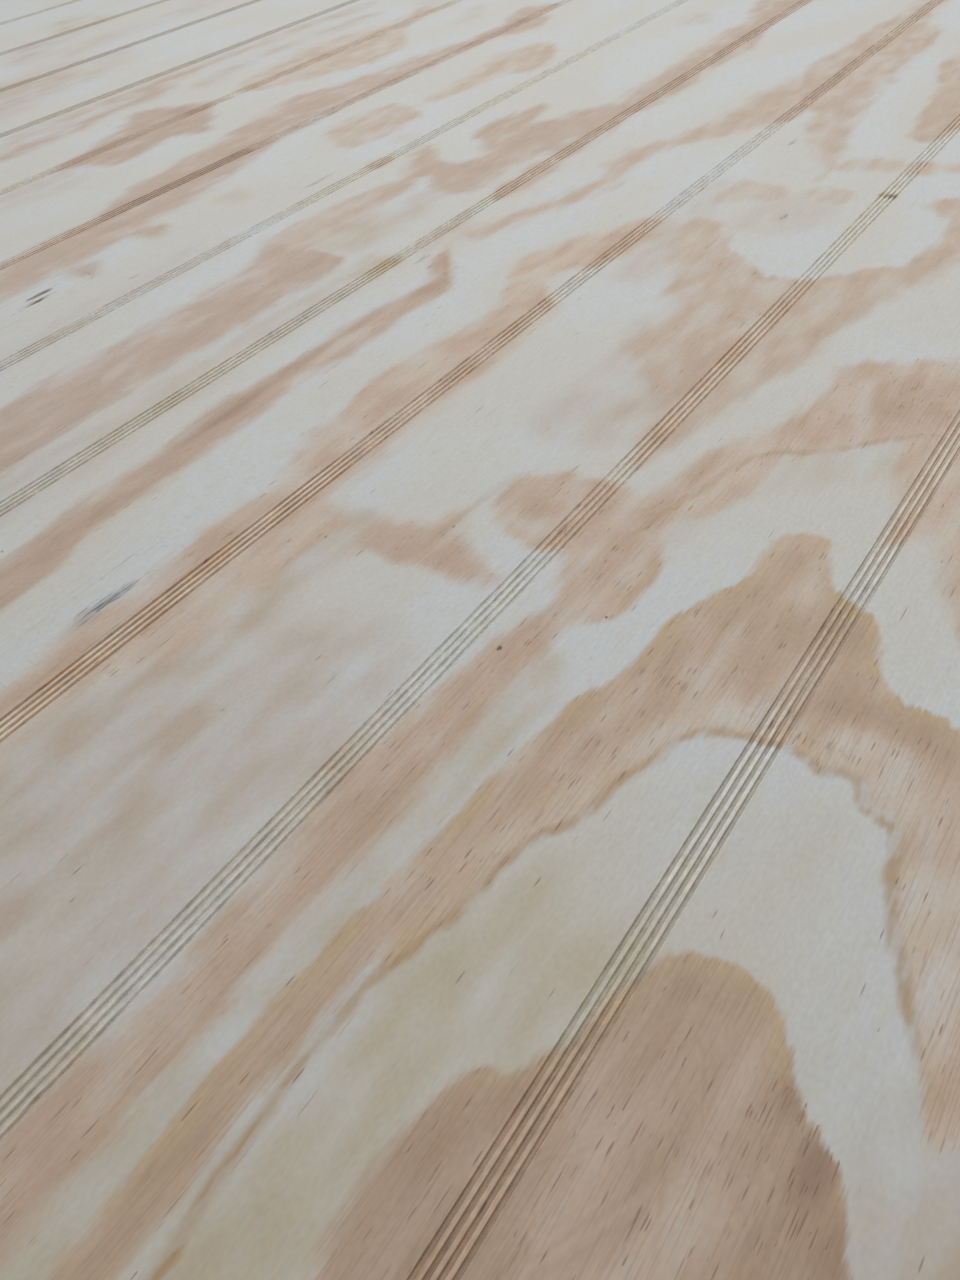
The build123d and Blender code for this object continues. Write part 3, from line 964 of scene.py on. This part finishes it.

    # Cut wood in the grooves and on the ridges between them is paler, and browner in dark late wood. The
    # pale tone is partly the cut wood's own and partly painted light: it lifts the shade in the grooves and
    # puts a painted highlight on the ridges.
    from_group = s.math("MODULO", s.y + (1.5 * GROUP_SPACING - GROUP_CENTRES[0]), GROUP_SPACING)
    in_group = s.ramp(s.size(from_group - GROUP_SPACING / 2), GROUP_HALF + 0.35, GROUP_HALF - 0.15)
    cut = s.ramp(s.z, THICKNESS - 0.02, THICKNESS - 0.3)
    torn = fibre * 0.45 + (teeth + grit) * 0.14 + 1.0
    # Paler cut wood, partly painted light that lifts the shade in the grooves and a painted highlight on
    # the ridges
    cut_tint_light_and_shade = s.mix(cover, (1.16, 1.14, 1.08, 1.0), (1.20, 1.23, 1.24, 1.0))
    ridge_tint_light_and_shade = s.mix(cover, (1.05, 1.04, 1.01, 1.0), (1.08, 1.09, 1.09, 1.0))
    # Painted light: below 0 the grooves are paler and more even, which lifts their shade
    painted_groove_light = (groove_tint_and_light * -1.0).held()
    # Painted shade: above 1 the grooves and their ridges are darker
    painted_groove_shade = (groove_tint_and_light - 1.0).held()
    for share, cut_here, ridge_here in ((groove_tint_and_light, (1.10, 1.04, 0.94, 1.0), (1.18, 1.16, 1.12, 1.0)),
                                        (painted_groove_light, (1.32, 1.31, 1.29, 1.0), (0.95, 0.95, 0.94, 1.0)),
                                        (painted_groove_shade, (0.77, 0.67, 0.57, 1.0), (0.89, 0.83, 0.77, 1.0))):
        cut_tint_light_and_shade = s.mix(share, cut_tint_light_and_shade, cut_here)
        ridge_tint_light_and_shade = s.mix(share, ridge_tint_light_and_shade, ridge_here)
    # Painted shade in the grooves of the strip near one edge, with a faint painted highlight on its ridges
    painted_shade_strip = s.ramp(s.y, *SHADED_GROOVE_STRIP)
    cut_tint_light_and_shade = s.tinted(cut_tint_light_and_shade, s.ramp(painted_shade_strip, 0.0, 1.0, 1.0, 0.84) * torn)
    ridge_tint_light_and_shade = s.tinted(ridge_tint_light_and_shade, s.ramp(painted_shade_strip, 0.0, 1.0, 1.0, 1.02) * torn)
    tone_here = s.mix(cut, s.mix(in_group, (1.0, 1.0, 1.0, 1.0), ridge_tint_light_and_shade), cut_tint_light_and_shade)
    s.finish(s.mix(1.0, wood, tone_here, "MULTIPLY"), 0.56)
    s.surface.inputs["Specular IOR Level"].default_value = 0.35
    s.bump(fibre * 0.8, 0.6, 0.00012)
    return s.material


def ply_layers(s):
    """1 in the plies whose grain runs along the sheet and 0 in the cross plies, and a mask for the glue
    lines between them."""
    wave = s.z + s.noise((220, 220, 200), 2, 0.5, 3) * 0.5
    layer = s.math("DIVIDE", wave, THICKNESS / PLIES)
    share = s.math("FRACT", layer)
    number = s.math("FLOOR", layer)
    along = s.math("LESS_THAN", s.math("MODULO", number + 2 * PLIES, 2.0), 0.5)
    near_line = s.math("MINIMUM", share, 1.0 - share)
    return along, s.ramp(near_line, 0.075, 0.02)


def edge_material():
    """Sawn edge: five plies, their grain along and across by turns, thin glue lines and a few blotches."""
    s = Shader("pine_edge")
    along, glue = ply_layers(s)
    facing = s.parts(s.tree.nodes.new("ShaderNodeNewGeometry").outputs["Normal"])
    on_end = s.math("GREATER_THAN", s.size(facing[0]), 0.5)
    same = s.size(along - on_end)
    long_grain = s.noise((60, 60, 0.45), 3, 0.6, 7)
    pores = s.noise((0.7, 0.7, 0.5), 3, 0.6, 23)
    blotch = s.noise((36, 36, 7), 2, 0.5, 43)
    lengthways = s.mix(s.ramp(long_grain, -0.2, 0.2), colour(192, 172, 139), colour(204, 188, 160))
    endways = s.mix(s.ramp(pores, -0.2, 0.2), colour(150, 124, 92), colour(182, 158, 124))
    wood = s.mix(same, endways, lengthways)
    wood = s.mix(s.ramp(blotch, 0.02, 0.3, 0.0, 0.5), wood, colour(160, 128, 92))
    s.finish(s.mix(glue * 0.75, wood, colour(104, 76, 54)), 0.75)
    s.bump(pores * 0.7 + glue * -0.4, 0.8, 0.0002)
    return s.material


def back_material():
    """Unselected back veneer: plainer and a little darker, with a broad figure."""
    s = Shader("pine_back")
    cloud = s.noise((1000, 170, 90), 1, 0.4, 17)
    fibre = s.noise((60, 0.7, 4), 3, 0.6, 29)
    mottle = s.noise((30, 12, 12), 3, 0.55, 37)
    band = s.math("FRACT", cloud * 11.0) + fibre * 0.25
    late = s.ramp(band, 0.45, 0.8) * s.ramp(band, 1.04, 0.98)
    wood = s.mix(late, colour(196, 188, 170), colour(178, 152, 122))
    s.finish(s.mix(s.ramp(mottle, 0.0, 0.3, 0.0, 0.4), wood, colour(182, 166, 140)), 0.68)
    s.bump(fibre + mottle * 0.4, 0.7, 0.0002)
    return s.material


def floor_material():
    """Plain pale floor, which glows a little for the camera alone."""
    s = Shader("pale_floor")
    s.finish(colour(172, 172, 170), 0.85)
    s.surface.inputs["Emission Color"].default_value = colour(232, 232, 230)
    seen = Value(s, s.tree.nodes.new("ShaderNodeLightPath").outputs["Is Camera Ray"])
    s.put(s.surface.inputs["Emission Strength"], seen * FLOOR_GLOW)
    return s.material


def add_floor():
    mesh = bpy.data.meshes.new("floor")
    corners = ((-1, -1), (1, -1), (1, 1), (-1, 1))
    mesh.from_pydata([(x * FLOOR_REACH, y * FLOOR_REACH, 0) for x, y in corners], [], [(0, 1, 2, 3)])
    floor = bpy.data.objects.new("floor", mesh)
    floor.location.z = FLOOR_HEIGHT
    bpy.context.scene.collection.objects.link(floor)
    mesh.materials.append(floor_material())


def add_lights():
    """One broad soft lamp above the far right half of the sheet, an even sky, and a pale background."""
    lamp = bpy.data.lights.new("soft_lamp", "AREA")
    lamp.shape = "SQUARE"
    lamp.size = LAMP_SIZE
    lamp.energy = LAMP_POWER
    lamp.color = (0.968, 0.98, 0.985)
    holder = bpy.data.objects.new("soft_lamp", lamp)
    holder.location = LAMP_PLACE
    bpy.context.scene.collection.objects.link(holder)
    world = bpy.data.worlds.new("studio")
    world.use_nodes = True
    nodes = world.node_tree.nodes
    sky = nodes["Background"]
    sky.inputs["Color"].default_value = (0.965, 0.983, 0.985, 1.0)
    sky.inputs["Strength"].default_value = SKY_STRENGTH
    backdrop = nodes.new("ShaderNodeBackground")
    backdrop.inputs["Color"].default_value = colour(214, 214, 212)
    seen = nodes.new("ShaderNodeMixShader")
    world.node_tree.links.new(nodes.new("ShaderNodeLightPath").outputs["Is Camera Ray"], seen.inputs[0])
    world.node_tree.links.new(sky.outputs[0], seen.inputs[1])
    world.node_tree.links.new(backdrop.outputs[0], seen.inputs[2])
    world.node_tree.links.new(seen.outputs[0], nodes["World Output"].inputs[0])
    bpy.context.scene.world = world


def add_camera():
    """The photograph's camera: low over one corner of the sheet, looking along and across it."""
    lens = bpy.data.cameras.new("camera")
    lens.sensor_fit = "VERTICAL"
    lens.sensor_height = SENSOR_HEIGHT
    lens.lens = LENS_LENGTH
    lens.clip_start = 0.01
    lens.clip_end = 50.0
    camera = bpy.data.objects.new("camera", lens)
    place = Matrix.Translation(Vector((*CAMERA_FOOT, THICKNESS + CAMERA_HEIGHT)) * 0.001)
    heading, pitch, roll = CAMERA_TURNS
    for turn, axis in ((heading - 90, "Z"), (90 - pitch, "X"), (roll, "Z")):
        place = place @ Matrix.Rotation(math.radians(turn), 4, axis)
    camera.matrix_world = place
    bpy.context.scene.collection.objects.link(camera)
    bpy.context.scene.camera = camera


sheet = build_sheet()
for material in (face_material(), edge_material(), back_material()):
    sheet.data.materials.append(material)
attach(sheet, "root")
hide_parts("grooved_sheet")
add_floor()
add_lights()
add_camera()
bpy.context.scene.view_settings.view_transform = "Standard"
print("triangles", sum(len(face.vertices) - 2 for face in sheet.data.polygons))
